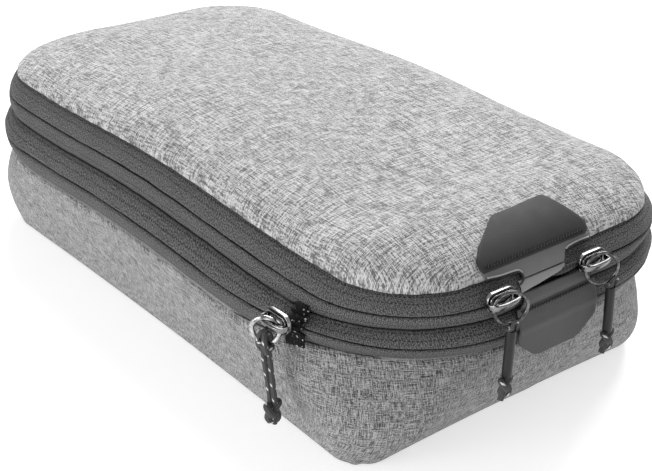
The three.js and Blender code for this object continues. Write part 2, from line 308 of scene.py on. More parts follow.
def knot_path(centre, size, turn):
    """An overhand knot pulled snug: three crossings round a small ball."""
    path, steps = [], 60
    for k in range(steps + 1):
        t = 2 * math.pi * k / steps
        x = (math.sin(t) + 1.5 * math.sin(2 * t)) * 0.36
        y = math.sin(3 * t) * 0.34
        z = (math.cos(t) - 1.5 * math.cos(2 * t)) * 0.42
        path.append(centre + Matrix.Rotation(turn, 3, "Z") @ (Vector((x, y, z)) * size))
    return path


braid = braid_finish("flecked_braid")
rubber = Finish("black_rubber", Roughness=0.42, Specular_IOR_Level=0.35)
rubber_at = rubber.node("ShaderNodeTexCoord", output="Object")
rubber_scuff = rubber.noise(rubber_at, 900.0)
rubber.feed(
    Base_Color=rubber.mix(rubber_scuff, 0.005, 0.016), Roughness=rubber_scuff * 0.25 + 0.3
)
rubber.bump(rubber.noise(rubber_at, 2500.0), 0.00005)


def mm(x, y, z):
    return Vector((x, y, z)) * MM


# How the rings and pulls lie, a little off the middle of the space that is kept for them.
RING_SHIFT = {
    "main_left": mm(0, -1.1, 1.5), "main_right": mm(-2, -1.1, 1.5), "compression": mm(0, -3.5, 4.0),
}
PULL_SHIFT = {"main_left": mm(1.1, 0, 0), "main_right": mm(4.6, -1.9, 1.2)}
WIRE_HALF = 0.85 * MM


def ring_foot(name):
    """The middle of the wire at the bottom of a slider's ring."""
    low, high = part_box(name + "_ring")
    foot = Vector(((low.x + high.x) / 2, (low.y + high.y) / 2, low.z + WIRE_HALF))
    return foot + RING_SHIFT[name]


LOOP_TURN = (
    (-1.5, 1.3, -3.4), (-1.7, -1.5, -1.9), (-0.9, -1.9, 0.9), (0.9, -1.9, 0.9), (1.7, -1.5, -1.9),
    (1.5, 1.3, -3.4), (0, 1.9, -3.9), (-1.5, 1.3, -3.4),
)
SLEEVE_RADIUS, SLEEVE_LENGTH, CORD_RADIUS = 2.15 * MM, 21.6 * MM, 1.32 * MM
for name, lean in (("main_left", -1.2), ("main_right", 0.6)):
    foot = ring_foot(name) + PULL_SHIFT[name]
    route = smooth_path(
        [foot + mm(0, 0, -1.2), foot + mm(0, 0, -8), foot + mm(lean * 0.4, 0, -18),
         foot + mm(lean, 0, -25.5), foot + mm(lean * 1.3, 0.2, -30), foot + mm(lean - 2.2, 0.3, -35.5)], 6
    )
    cord = tube(name + "_braid", route, CORD_RADIUS)
    fitted(cord, braid, name + "_pull", "braid", name + "_cord")
    hitch = tube(
        name + "_hitch_loop",
        smooth_path([foot + mm(*point) for point in LOOP_TURN], 6),
        0.75 * MM, 10,
    )
    fitted(hitch, braid, name + "_pull", "braid")

    bpy.ops.object.select_all(action="DESELECT")
    bpy.ops.mesh.primitive_cylinder_add(
        vertices=32, radius=SLEEVE_RADIUS, depth=SLEEVE_LENGTH, end_fill_type="NOTHING",
        location=foot + mm(lean * 0.4, 0, -14.2),
    )
    sleeve = bpy.context.object
    sleeve.rotation_euler = (0, math.radians(-lean * 2.2), 0)
    bpy.ops.object.mode_set(mode="EDIT")
    bpy.ops.mesh.select_all(action="SELECT")
    bpy.ops.mesh.subdivide(number_cuts=3)
    bpy.ops.object.mode_set(mode="OBJECT")
    wall = sleeve.modifiers.new("wall", "SOLIDIFY")
    wall.thickness, wall.offset = 0.6 * MM, -1
    soft = sleeve.modifiers.new("soft", "BEVEL")
    soft.width, soft.segments = 0.22 * MM, 3
    bpy.ops.object.transform_apply(location=True, rotation=True, scale=True)
    for modifier in ("wall", "soft"):
        bpy.ops.object.modifier_apply(modifier=modifier)
    bpy.ops.object.shade_smooth_by_angle(angle=math.radians(40))
    sleeve.name = name + "_smooth_sleeve"
    fitted(sleeve, rubber.material, name + "_pull", "rubber_sleeve", name + "_sleeve")

    knot = tube(name + "_overhand_knot", knot_path(foot + mm(lean * 1.2, 0.1, -28.9), 4.2 * MM, 0.5),
                1.3 * MM, 12)
    fitted(knot, braid, name + "_pull", "braid", name + "_knot")

foot = ring_foot("compression")
DRIFT = -3.6  # the knot hangs a little nearer the front than the ring
spine = smooth_path(
    [foot + mm(0, 0, 0.5), foot + mm(0, DRIFT * 0.1, -6), foot + mm(0.2, DRIFT * 0.35, -13),
     foot + mm(0.4, DRIFT * 0.6, -19), foot + mm(0.5, DRIFT * 0.85, -25), foot + mm(0.4, DRIFT, -30.4)], 8
)
STRAND_RADIUS, STRAND_APART = 1.18 * MM, 1.12 * MM


def strand(side):
    """One strand of the pull, on one side of its middle line and turning a little about it."""
    path = []
    for i, p in enumerate(spine):
        turn = 0.35 * math.sin(i * 0.16)
        path.append(p + Vector((0.55 + turn * 0.5, -0.8 + turn * 0.3, 0)) * (side * STRAND_APART))
    return tube("strand", path, STRAND_RADIUS, uv_from=0.0011 * (side + 1))


pull = joined("compression_two_strand_cord", [strand(side) for side in (-1, 1)])
fitted(pull, braid, "compression_pull", "braid", "compression_cord")
bight = foot + mm(0, 0, 2.6)
HITCH_TURNS = (
    [(-1.0, -2.3, -6.6), (-2.1, -2.6, -3.0), (-1.6, -1.6, 0.9), (0.2, -0.6, 1.9), (1.4, -1.1, 0.4),
     (1.8, -1.6, -3.0), (0.8, -1.2, -6.8)],
    [(-0.6, 1.9, -6.8), (-2.0, 2.4, -3.4), (-1.6, 1.5, 0.8), (0.2, 0.8, 1.9), (1.4, 1.2, 0.3),
     (1.8, 1.9, -3.2), (0.8, 1.2, -6.8)],
    [(-1.4, -3.0, -3.6), (-2.6, 0.0, -2.4), (-1.4, 3.0, -3.4), (1.2, 2.6, -4.4), (2.0, 0, -4.6),
     (1.2, -2.6, -4.4), (-1.4, -3.0, -3.6)],
)
hitch = joined("compression_cow_hitch", [
    tube("turn", smooth_path([bight + mm(*point) for point in turn], 7), 1.2 * MM, 12)
    for turn in HITCH_TURNS
])
fitted(hitch, braid, "compression_pull", "braid", "compression_hitch")
knot_at = foot + mm(0.3, DRIFT, -31.4)
CUT_ENDS = (
    [(0, 0.4, -1.5), (-0.3, 1.2, -4.4), (-0.6, 2.2, -6.4)],
    [(0, -0.4, -1.5), (0.2, -0.9, -4.6), (0.1, -1.0, -6.0)],
)
knot = joined("compression_double_knot", [
    tube("turn", knot_path(knot_at, 4.5 * MM, 0.4), 1.6 * MM, 12),
    *(tube("end", smooth_path([knot_at + mm(*point) for point in end], 5), 1.1 * MM, 12)
      for end in CUT_ENDS),
])
fitted(knot, braid, "compression_pull", "braid", "compression_knot")


# ---- Tub wall ----
# The lower bag is one long wall of heather polyester, boxed at the bottom corners and stuffed, so
# that it bulges between them. It is sewn to the base panel and to the compression zip's tape.
# Rounded rectangles that the cloth passes through: height, half-width, half-length, corner radius, lift.
LOOPS = np.array([
    (0, 88, 150, 16, 0), (12, 92, 160, 28, 0), (27, 96, 167, 44, 0), (40, 99.5, 169.5, 64, 0.6),
    (51, 101, 171, 80, 1), (59.5, 99.5, 174, 72, 1), (67, 93, 172, 62, 1), (74.5, 88.5, 170.5, 50, 1),
    (82.5, 82, 166, 38, 1),
])
WALL_TOP, LOWER_ZIP, MID_SEAM, UPPER_ZIP, LID_EDGE = 51, 59.5, 67, 74.5, 82.5
ARCH, ARCH_REACH, BOW = 4.2, 112, 0.018
CORNER_STEPS, LONG_STEPS, SHORT_STEPS = 28, 110, 56


def places_around():
    """Corner centre signs and outward normal of each column round the cube."""
    rows = []
    corners = [(1, -1), (1, 1), (-1, 1), (-1, -1)]
    for k, (cx, cy) in enumerate(corners):
        start = (k - 1) * math.pi / 2
        for i in range(CORNER_STEPS + 1):
            a = start + i / CORNER_STEPS * math.pi / 2
            rows.append((cx, cy, math.cos(a), math.sin(a)))
        ex, ey = corners[(k + 1) % 4]
        a = start + math.pi / 2
        steps = LONG_STEPS if k % 2 == 0 else SHORT_STEPS
        for i in range(1, steps):
            t = i / steps
            rows.append((cx + (ex - cx) * t, cy + (ey - cy) * t, math.cos(a), math.sin(a)))
    return np.array(rows)


PLACES = places_around()
NORMALS = np.column_stack([PLACES[:, 2:], np.zeros(len(PLACES))])


def sizes_at(z):
    """Half-width, half-length, corner radius and lift of the cloth at a height, smoothly."""
    heights = LOOPS[:, 0]
    k = int(np.clip(np.searchsorted(heights, z) - 1, 0, len(heights) - 2))
    slopes = np.gradient(LOOPS[:, 1:], heights, axis=0)
    step = heights[k + 1] - heights[k]
    t = (z - heights[k]) / step
    a, b = LOOPS[k, 1:], LOOPS[k + 1, 1:]
    return ((2 * t ** 3 - 3 * t ** 2 + 1) * a + (t ** 3 - 2 * t ** 2 + t) * step * slopes[k]
            + (3 * t ** 2 - 2 * t ** 3) * b + (t ** 3 - t ** 2) * step * slopes[k + 1])


def around(w, l, r, lift, z, share=1.0):
    """Points of one loop, in millimetres."""
    w, l, r = w * share, l * share, r * share
    x = PLACES[:, 0] * (w - r) + PLACES[:, 2] * r
    y = PLACES[:, 1] * (l - r) + PLACES[:, 3] * r
    reach = np.minimum(1, np.abs(y) / ARCH_REACH)
    return np.column_stack([
        x * (1 + BOW * (1 - (y / l) ** 2)),
        y * (1 + 0.7 * BOW * np.maximum(0, 1 - (x / w) ** 2)),
        z + lift * ARCH * np.cos(reach * math.pi / 2) ** 2,
    ])


def loop_at(z, out=0.0):
    w, l, r, lift = sizes_at(z)
    return around(w + out, l + out, max(r + out, 1), lift, z)


RAISED_AT, RAISED_REACH, RAISED_BY = (-97, -122), 34, 3.4


def side_lift(points):
    """The compression zip rides up a little where its slider pulls it at the front left corner."""
    away = np.hypot(points[:, 0] - RAISED_AT[0], points[:, 1] - RAISED_AT[1])
    high = np.interp(points[:, 2], [34, 52, 60, 66], [0, 1, 1, 0])
    lifted = points.copy()
    lifted[:, 2] += RAISED_BY * np.exp(-((away / RAISED_REACH) ** 2)) * high
    return lifted


def run_round(row):
    """Metres round the cube from the middle of the front to each column, and all the way round."""
    steps = np.linalg.norm(np.roll(row, -1, 0) - row, axis=1)
    run = np.concatenate([[0], np.cumsum(steps)]) * MM
    return run - run[len(row) - SHORT_STEPS // 2], run[-1]


# The column at the middle of the back, where the UV has its seam.
BACK_MIDDLE = 2 * (CORNER_STEPS + 1) + LONG_STEPS - 1 + SHORT_STEPS // 2


def skin(name, rows, pole=False):
    """A closed shell through rows of points round the cube. UV is metres round it and across the rows."""
    bm = bmesh.new()
    layer = bm.loops.layers.uv.new("UVMap")
    grid = [[bm.verts.new(p) for p in row * MM] for row in rows]
    middle = len(rows[0]) // 2
    across = [0.0]
    for a, b in zip(rows, rows[1:]):
        across.append(across[-1] + float(np.linalg.norm(b[middle] - a[middle])) * MM)
    count = len(grid[0])
    runs = [run_round(row) for row in rows]
    for i in range(len(grid)):
        j = (i + 1) % len(grid)
        for k in range(count):
            n = (k + 1) % count
            face = bm.faces.new((grid[i][k], grid[i][n], grid[j][n], grid[j][k]))
            for loop, (column, row) in zip(face.loops, ((k, i), (k + 1, i), (k + 1, j), (k, j))):
                run, whole = runs[row]
                u = run[column] + (whole if k < BACK_MIDDLE else 0)
                loop[layer].uv = (u, across[row])
    if pole:
        bmesh.ops.remove_doubles(bm, verts=bm.verts, dist=1e-6)
    return shown(name, bm)


def lumps(points, size, seed):
    """Soft unevenness of stuffed cloth, about -1 to 1."""
    return np.array([noise.noise(Vector((p[0] / size + seed, p[1] / size, p[2] / size))) for p in points])


SLUB_ACROSS, SLUB_ALONG = 2500, 150  # noise scales, in features a metre
THREAD_ACROSS, THREAD_ALONG = 4200, 800


def weave_finish(name, dark, light, source="UV", turn=0.0):
    """Heather plain weave: pale and dark slubs run both ways over a fine grain."""
    made = Finish(name, Roughness=0.92)
    made.feed(Sheen_Weight=0.15, Sheen_Roughness=0.5)
    at = made.node("ShaderNodeTexCoord", output=source)
    warp = made.noise(at, 1.0, 1.5, (SLUB_ACROSS, SLUB_ALONG, SLUB_ALONG), turn)
    weft = made.noise(at, 1.0, 1.5, (SLUB_ALONG, SLUB_ACROSS, SLUB_ALONG), turn)
    thin = made.noise(at, 1.0, 1.0, (THREAD_ACROSS, THREAD_ALONG, THREAD_ALONG), turn)
    thin_weft = made.noise(at, 1.0, 1.0, (THREAD_ALONG, THREAD_ACROSS, THREAD_ALONG), turn)
    cloud = made.noise(at, 60.0, 2.0)
    slubs = (warp - 0.5) * 2.9 + (weft - 0.5) * 2.9 + (thin - 0.5) * 2.2 + (thin_weft - 0.5) * 2.2
    share = (slubs + (cloud - 0.5) * 0.35 + 0.5).between(0.0, 1.0)
    made.feed(Base_Color=made.mix(share, dark, light))
    made.bump(slubs, 0.00022, 0.7)
    return made.material


BOTTOM_TUCK = 4.2  # the slack sides draw in under the bag between its bottom corners
WALL_THICK, ZIP_TUCK = 1.3, 1.3
PINCH_TOWARDS, PINCH_SPREAD = (0.787, -0.617), 0.45  # the slack corner at the front right


def drawn_in(points):
    """1 at the middle of a side, falling to 0 at the bottom corners."""
    return 1 - (np.abs(points[:, 0]) / 90 * np.abs(points[:, 1]) / 155).clip(0, 1) ** 2


def wall_rows():
    """Outer rows of the tub wall from its foot to the zip seam."""
    rows = []
    for z in np.concatenate([np.linspace(0.4, 10, 9)[:-1], np.linspace(10, WALL_TOP - 0.2, 22)]):
        points = loop_at(z)
        swell = math.sin(math.pi * min(1, z / WALL_TOP)) ** 0.8
        vertical = points * (1, 1, 0.35)
        push = swell * (2.2 * lumps(vertical, 52, 3.1) + 1.3 * lumps(vertical, 23, 8.4))
        push -= BOTTOM_TUCK * drawn_in(points) * max(0, 1 - z / 30) ** 1.4
        off_corner = (PLACES[:, 2] - PINCH_TOWARDS[0]) ** 2 + (PLACES[:, 3] - PINCH_TOWARDS[1]) ** 2
        pinch = np.interp(z, (0, 10, 28, 44, 51), (1, 5, 7, 4.5, 0.5))
        push -= np.exp(-off_corner / PINCH_SPREAD) * pinch
        points = points + NORMALS * push[:, None]
        ridge = np.exp(-((np.abs(PLACES[:, 2]) - np.abs(PLACES[:, 3])) ** 2) / 0.10)
        fold = np.sin((points[:, 0] - points[:, 1]) * 0.55 + z * 0.22) * ridge
        points = points + NORMALS * (0.7 * fold * max(0, 1 - z / 34))[:, None]
        points = points - NORMALS * (max(0, 1 - (WALL_TOP - z) / 2.2) * ZIP_TUCK)
        rows.append(side_lift(points))
    return rows


# The wall takes a darker copy of the heather than the lid: its lower tone is painted shade on the sides.
wall_cloth_painted_shade = weave_finish("wall_heather_painted_shade", 0.03, 0.46)
outside = wall_rows()
inside = [row - NORMALS * WALL_THICK for row in outside]
tub = skin("tub_wall_cloth", outside + inside[::-1])
fitted(tub, wall_cloth_painted_shade, "tub", "wall_weave", "tub_wall")


# ---- Seam bindings ----
# Black grosgrain tape binds each seam inside. The base seam's binding draws in with the wall's foot.
grosgrain = Finish("black_grosgrain", Roughness=0.85)
grosgrain_at = grosgrain.node("ShaderNodeTexCoord", output="Object")
grosgrain_z = grosgrain.node("ShaderNodeSeparateXYZ", {}, [grosgrain_at], 2)
cords = grosgrain_z.wave(900)
fuzz = grosgrain.noise(grosgrain_at, 1400.0)
grosgrain.feed(Base_Color=grosgrain.mix(cords * 0.6 + fuzz * 0.4, 0.008, 0.035))
grosgrain.bump(cords, 0.0002)
BINDING_FROM, BINDING_TO, BINDING_OUT, BINDING_IN = 1.6, 6.5, 1.5, 2.3
base_binding = skin("base_binding_tape", [
    np.column_stack([outside[0][:, :2], np.full(len(NORMALS), z)]) - NORMALS * deep
    for z, deep in (
        (BINDING_FROM, BINDING_OUT), (BINDING_TO, BINDING_OUT), (BINDING_TO, BINDING_IN),
        (BINDING_FROM, BINDING_IN),
    )
])
fitted(base_binding, grosgrain.material, "tub", "seam_binding", "base_seam_binding")
for node in ("mid_seam_binding", "lid_seam_binding"):
    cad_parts[node].data.materials.clear()
    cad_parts[node].data.materials.append(grosgrain.material)


# ---- Base panel ----
# A flat rounded rectangle of the same cloth under the cube, slightly slack, drawn in with the wall.
NEARLY_NOTHING = 1e-4  # the last loop of a closed panel, merged to a point
base_rows = []
w, l, r = LOOPS[0, 1:4]
for share in (1, 0.985, 0.94, 0.86, 0.75, 0.6, 0.42, 0.22, 0.0):
    row = around(w - 0.5, l - 0.5, r, 0, 0.5, max(share, NEARLY_NOTHING))
    row = row - NORMALS * (BOTTOM_TUCK * drawn_in(row) * share)[:, None]
    row[:, 2] = 0.35 + (0.6 + 0.5 * lumps(row, 30, 5.0)) * (1 - share ** 6) * 0.8
    base_rows.append(row)
base_inside = [row + (0, 0, 1.0) for row in base_rows]
base = skin("base_cloth", base_rows[::-1] + base_inside, pole=True)
fitted(base, weave_finish("base_heather", 0.03, 0.46, "Object"), "tub", "wall_weave", "base_panel")


# ---- Zip tapes ----
# Two zips run round the cube one above the other: the compression zip below and the main zip above.
# Each is a pair of ribbed dark tapes that meet over hidden coils, so only a thin line shows between.
STITCH_FROM_SEAM, STITCH_FROM_LINE = 1.5, 5.0
SEAM_TUCK, CROWN_OUT, TAPE_THICK = 1.5, 1.25, 0.9
MOUTH_MIDDLE, MOUTH_HALF = -5, 17  # the main zip stands open between its two sliders


def tape_finish():
    made = Finish("ribbed_zip_tape", Roughness=0.8)
    at = made.node("ShaderNodeTexCoord", output="UV")
    split = made.node("ShaderNodeSeparateXYZ", {}, [at])
    across = split.output(1)
    rib = split.wave(1050)
    grain = made.noise(at, 1.0, 1.5, (1500, 1400, 1))
    cloud = made.noise(at, 90.0, 2.0)
    lift = (rib * 0.4 + (grain - 0.5) * 4.2 + cloud * 0.3 + 0.12).between(0.0, 1.0)
    stitch = split.wave(590).between(0.45, 0.7)
    near_seam, near_line = (
        1 - (across - place * MM).math("ABSOLUTE").between(0.00022, 0.0004)
        for place in (STITCH_FROM_SEAM, STITCH_FROM_LINE)
    )
    near = near_seam.math("MAXIMUM", near_line)
    thread = stitch * near
    made.feed(Base_Color=made.mix(thread, made.mix(lift, 0.012, 0.135), 0.006))
    made.bump(rib * 0.5 + grain * 0.5 - thread * 0.6, 0.00025, 0.8)
    return made.material


tape_cloth = tape_finish()


def tape_rows(seam, line, mouth):
    """Rows of one tape from its seam to the zip's centre line, outside and back inside."""
    rows = []
    for t in (0, 0.04, 0.1, 0.2, 0.32, 0.45, 0.58, 0.7, 0.8, 0.88, 0.94, 0.98, 1.0):
        z = seam + (line - seam) * t
        z += 0.28 * (1 if seam < line else -1) * (1 - 2 * t)
        bulge = CROWN_OUT * math.sin(t * math.pi / 2) ** 0.75 - SEAM_TUCK * (1 - t) ** 5
        bulge -= 0.8 * max(0, (t - 0.9) / 0.1) ** 2
        points = loop_at(z, bulge)
        if mouth:
            away = np.clip(np.abs(points[:, 0] - MOUTH_MIDDLE) / MOUTH_HALF, 0, 1)
            opened = np.cos(away * math.pi / 2) ** 2 * (points[:, 1] < 0)
            points[:, 2] += mouth * opened * t ** 2
            points[:, 1] += 1.2 * opened * t ** 3
        ripple = 0.35 * lumps(points, 9, 2.0 + seam) + 0.5 * lumps(points, 40, seam)
        points = points + NORMALS * ripple[:, None]
        rows.append(side_lift(points))
    inner = [row - NORMALS * TAPE_THICK for row in rows]
    return rows + inner[::-1]


for name, node, body, seam, line, mouth in (
    ("lower_zip_lower_tape", "compression_zip_tape_lower", "tub", WALL_TOP, LOWER_ZIP, 0),
    ("lower_zip_upper_tape", "compression_zip_tape_upper", "mid_band", MID_SEAM, LOWER_ZIP, 0),
    ("main_zip_lower_tape", "main_zip_tape_lower", "mid_band", MID_SEAM, UPPER_ZIP, -2.2),
    ("main_zip_upper_tape", "main_zip_tape_upper", "lid", LID_EDGE, UPPER_ZIP, 2.0),
):
    tape = skin(name, tape_rows(seam, line, mouth))
    fitted(tape, tape_cloth, body, "zip_tape", node)


# ---- Zip coils ----
# Nylon coils are sewn to the backs of the tapes, where their teeth mesh behind the thin line between.
coil = Finish("nylon_coil", Roughness=0.45)
coil_at = coil.node("ShaderNodeTexCoord", output="Object")
coil_xy = coil.node("ShaderNodeSeparateXYZ", {}, [coil_at])
bearing = coil_xy.output(1).math("ARCTAN2", coil_xy)
TEETH_PER_RADIAN = 640.0
teeth = (bearing * TEETH_PER_RADIAN).math("SINE") * 0.5 + 0.5
coil.feed(Base_Color=coil.mix(teeth, 0.008, 0.035))
coil.bump(teeth, 0.0004)
for node in (
    "compression_zip_coil_lower", "compression_zip_coil_upper", "main_zip_coil_lower", "main_zip_coil_upper",
):
    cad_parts[node].data.materials.clear()
    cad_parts[node].data.materials.append(coil.material)


# ---- Expansion gusset ----
# Behind the compression zip a band of thin lining lies pleated, and opens out as the cube expands.
# PLEATS are heights and steps out.
lining = Finish("ripstop_lining", Roughness=0.7)
lining_at = lining.node("ShaderNodeTexCoord", output="Object")
lining_xyz = lining.node("ShaderNodeSeparateXYZ", {}, [lining_at])
RIPSTOP_A_METRE = 220
lining_grid = lining_xyz.wave(RIPSTOP_A_METRE).math(
    "MAXIMUM", lining_xyz.output(1).wave(RIPSTOP_A_METRE)
)
lining_share = lining_grid.between(0.93, 1.0) * 0.5 + lining.noise(lining_at, 1200.0) * 0.5
lining.feed(Base_Color=lining.mix(lining_share, 0.20, 0.36))
lining.bump(lining_share, 0.0001)
PLEATS = (
    (51.4, 4.8), (52.4, 2.4), (53.2, 0), (54.5, 0.9), (56.3, -0.9), (58.2, 0.9), (60.1, -0.9), (62.0, 0.9),
    (64.2, -0.7), (65.8, 0.6), (66.4, 4.2),
)
pleat_rows = [loop_at(z, -5.5 + out) for z, out in PLEATS]
gusset = skin("gusset_lining", pleat_rows + [row - NORMALS * 0.5 for row in pleat_rows][::-1])
gusset.data.materials.append(lining.material)
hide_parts("expansion_gusset")
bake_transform(gusset)


# ---- Lid ----
# The lid is one panel of the same heather cloth, stuffed into a low flat crown that rises steeply
# from its seam and puckers a little along the stitching.
LID_RISE, FRONT_FULL, BACK_BUMP = 14.0, 3.2, 4.0
LEAN = 3.8  # the stuffing sits higher on the left
BELLY, LID_THICK = 1.5, 1.3


def lid_height(share, y, x=0.0):
    """How far the lid stands above its edge."""
    front = min(1, max(0, (-y - 95) / 55))
    front = max(front, min(1, max(0, (x - 30) / 30)) * min(1, max(0, (-y - 40) / 60)))
    front = front * front * (3 - 2 * front)
    rear = min(1, max(0, (y - 60) / 80))
    fullness = 4.0 + 4.5 * front - 1.2 * rear
    rise = (LID_RISE - LEAN * x / 90) * (1 - min(1, share) ** fullness) ** 0.5
    bump = math.exp(-((x + 30) / 38) ** 2 - ((y - 148) / 30) ** 2)
    rise += BACK_BUMP * bump * (1 - min(1, share) ** 12)
    return rise + FRONT_FULL * front * (1 - min(1, share) ** 14) * math.exp(-((y + 140) / 34) ** 2)


w, l, r, lift = sizes_at(LID_EDGE)
lid_rows = [around(w, l, r, 1, LID_EDGE + 0.35) - NORMALS * LID_THICK]
for share in (
    1, 0.9985, 0.996, 0.992, 0.987, 0.98, 0.971, 0.96, 0.948, 0.934, 0.918, 0.9, 0.88, 0.857, 0.832,
    0.805, 0.776, 0.745, 0.712, 0.677, 0.64, 0.6, 0.56, 0.52, 0.48, 0.44, 0.4, 0.36, 0.32, 0.28, 0.24,
    0.2, 0.16, 0.12, 0.08, 0.04, 0.0,
):
    row = around(w, l, r, 1, 0, max(share, NEARLY_NOTHING))
    row[:, 2] += LID_EDGE + 0.4 + np.array([lid_height(share, y, x) for x, y in row[:, :2]])
    belly = BELLY * math.sin(math.pi * min(1, (1 - share) / 0.09)) ** 0.8 if share > 0.91 else 0.0
    right = np.clip((row[:, 0] - 10) / 60, 0, 1) * np.clip((30 - row[:, 1]) / 110, 0, 1)
    row = row + NORMALS * (belly * right)[:, None]
    soft = 1 - share ** 8
    row[:, 2] += soft * (1.3 * lumps(row, 70, 1.7) + 0.55 * lumps(row, 26, 6.2))
    pucker = 0.5 * lumps(row * (1, 1, 0), 5.5, 4.0) * math.exp(-((1 - share) * 150 / 6) ** 2)
    row = row + NORMALS * pucker[:, None]
    lid_rows.append(row)
under = [row - (0, 0, LID_THICK) for row in lid_rows[2:]]
under = [np.column_stack([row[:, :2] * 0.99, row[:, 2]]) for row in under]
lid = skin("lid_cloth_painted_light", lid_rows + under[::-1], pole=True)
# The lid takes a lighter copy of the same heather than the wall: painted light on the top of the cube.
lid_cloth_painted_light = weave_finish("lid_heather_painted_light", 0.10, 0.60, "Object", 0.05)
fitted(lid, lid_cloth_painted_light, "lid", "lid_weave", "lid_panel")


# ---- Lid tab and front flap ----
# A strip of coated grey sheet folds over the zip's mouth on each side of it. The lid's strip ends in
# a darker shield, the front's in a chamfered flap, and each is sewn down with a zigzag.
def sheet_finish(name, dark, light):
    made = Finish(name, Roughness=0.62, Specular_IOR_Level=0.25)
    at = made.node("ShaderNodeTexCoord", output="Object")
    grain = made.noise(at, 1600.0, 3.0)
    wear = made.noise(at, 160.0, 3.0)
    made.feed(Base_Color=made.mix(grain * 0.5 + wear * 0.5, dark, light), Roughness=wear * 0.25 + 0.5)
    made.bump(grain, 0.00006)
    return made.material


patch_sheet = sheet_finish("dark_coated_sheet", 0.050, 0.100)
shield_sheet = sheet_finish("shield_coated_sheet", 0.016, 0.044)
strip_sheet = sheet_finish("grey_coated_sheet", 0.125, 0.190)
lower_strip_sheet = sheet_finish("shaded_coated_sheet", 0.070, 0.120)
FRONT_X = -4  # the middle of the tab and the flap


def front_y(x, z, out):
    w, l, r, lift = sizes_at(z)
    return -(l + out) * (1 + 0.7 * BOW * max(0, 1 - (x / w) ** 2))


def lid_section(x):
    """The front of the cube above the mouth at one x: points of y and z going up and back."""
    points = [(front_y(x, 76.2, 0.2), 75.7), (front_y(x, 76.2, 1.3), 75.9), (front_y(x, 77, 1.9), 77.0),
              (front_y(x, 79, 1.9), 79.0), (front_y(x, 81, 1.6), 81.0), (front_y(x, 82.5, 1.1), 82.5)]
    w, l, r, lift = sizes_at(LID_EDGE)
    for share in np.concatenate([np.linspace(0.998, 0.96, 14), np.linspace(0.955, 0.78, 24)]):
        y = -l * share * (1 + 0.7 * BOW * max(0, 1 - (x / w / share) ** 2))
        points.append((y, LID_EDGE + 0.4 + lid_height(share, y)))
    return np.array(points)


def flap_section(x):
    """The front of the cube below the mouth at one x, going down, and then hanging straight."""
    points = [(front_y(x, 73, 0.3), 73.3), (front_y(x, 73, 1.3), 72.9), (front_y(x, 71, 2.1), 71.0),
              (front_y(x, 68, 1.7), 68.0), (front_y(x, 64, 1.7), 64.5), (front_y(x, 60, 1.8), 60.0)]
    hem = front_y(x, 59.5, 1.3)
    return np.array(points + [(hem + 0.02, z) for z in (57, 54, 51, 48, 45, 42, 39)])


def section_point(section, x, a):
    """The point at distance `a` along a section, and the outward direction there."""
    points = section(x)
    run = np.concatenate([[0], np.cumsum(np.linalg.norm(np.diff(points, axis=0), axis=1))])

    def place(at):
        return np.array([np.interp(at, run, points[:, i]) for i in (0, 1)])

    ahead = place(a + 0.6) - place(a - 0.6)
    ahead /= max(np.linalg.norm(ahead), 1e-9)
    side = -1 if section is flap_section else 1
    return place(a), np.array([-ahead[1], ahead[0]]) * side


def cut_sheet(name, section, edges, thick, off, columns=40, fine=14):
    """A thin sheet on a section. Each edge row: distance along it and x at the left, then at the right."""
    outer, inner = [], []
    rows = [np.array(edges[0], float)]
    for a, b in zip(edges, edges[1:]):
        a, b = np.array(a, float), np.array(b, float)
        count = max(2, int(fine * np.linalg.norm(b - a) / 12))
        rows += [a + (b - a) * i / count for i in range(1, count + 1)]
    for low, left, high, right in rows:
        row_out, row_in = [], []
        for k in range(columns + 1):
            t = k / columns
            x = FRONT_X + left + (right - left) * t
            (y, z), normal = section_point(section, x, low + (high - low) * t)
            soft = off + 0.25 * noise.noise(Vector((x / 9, z / 9, 4.0)))
            row_out.append((x, y + normal[0] * (soft + thick), z + normal[1] * (soft + thick)))
            row_in.append((x, y + normal[0] * soft, z + normal[1] * soft))
        outer.append(row_out)
        inner.append(row_in)
    bm = bmesh.new()
    front = [[bm.verts.new(Vector(p) * MM) for p in row] for row in outer]
    rear = [[bm.verts.new(Vector(p) * MM) for p in row] for row in inner]
    for i in range(len(front) - 1):
        for k in range(columns):
            bm.faces.new((front[i][k], front[i][k + 1], front[i + 1][k + 1], front[i + 1][k]))
            bm.faces.new((rear[i][k], rear[i + 1][k], rear[i + 1][k + 1], rear[i][k + 1]))
        for k in (0, columns):
            bm.faces.new((front[i][k], front[i + 1][k], rear[i + 1][k], rear[i][k]))
    for i in (0, len(front) - 1):
        for k in range(columns):
            bm.faces.new((front[i][k], rear[i][k], rear[i][k + 1], front[i][k + 1]))
    return shown(name, bm)


STITCH_STEP, STITCH_REACH = 0.8, 0.62


def zigzag(name, section, start, end, off, body):
    """A row of black zigzag stitches across a sheet, from one (x, distance) to another."""
    path = []
    count = int((end[0] - start[0]) / STITCH_STEP)
    for i in range(count + 1):
        t = i / count
        x = FRONT_X + start[0] + (end[0] - start[0]) * t
        (y, z), normal = section_point(
            section, x, start[1] + (end[1] - start[1]) * t + (STITCH_REACH if i % 2 else -STITCH_REACH)
        )
        path.append(Vector((x, y + normal[0] * off, z + normal[1] * off)) * MM)
    return fitted(tube(name, path, 0.36 * MM, 6), grosgrain.material, body, "tab_sheet")


def piping(name, section, corners, off, radius, material, body):
    """A thin cord along an edge on a section, through (x, distance) points."""
    path = []
    for x, a in [(p.x, p.y) for p in smooth_path([(x, a, 0) for x, a in corners], 6)]:
        (y, z), normal = section_point(section, FRONT_X + x, a)
        path.append(Vector((FRONT_X + x, y + normal[0] * off, z + normal[1] * off)) * MM)
    return fitted(tube(name, path, radius, 8), material, body, "tab_sheet")


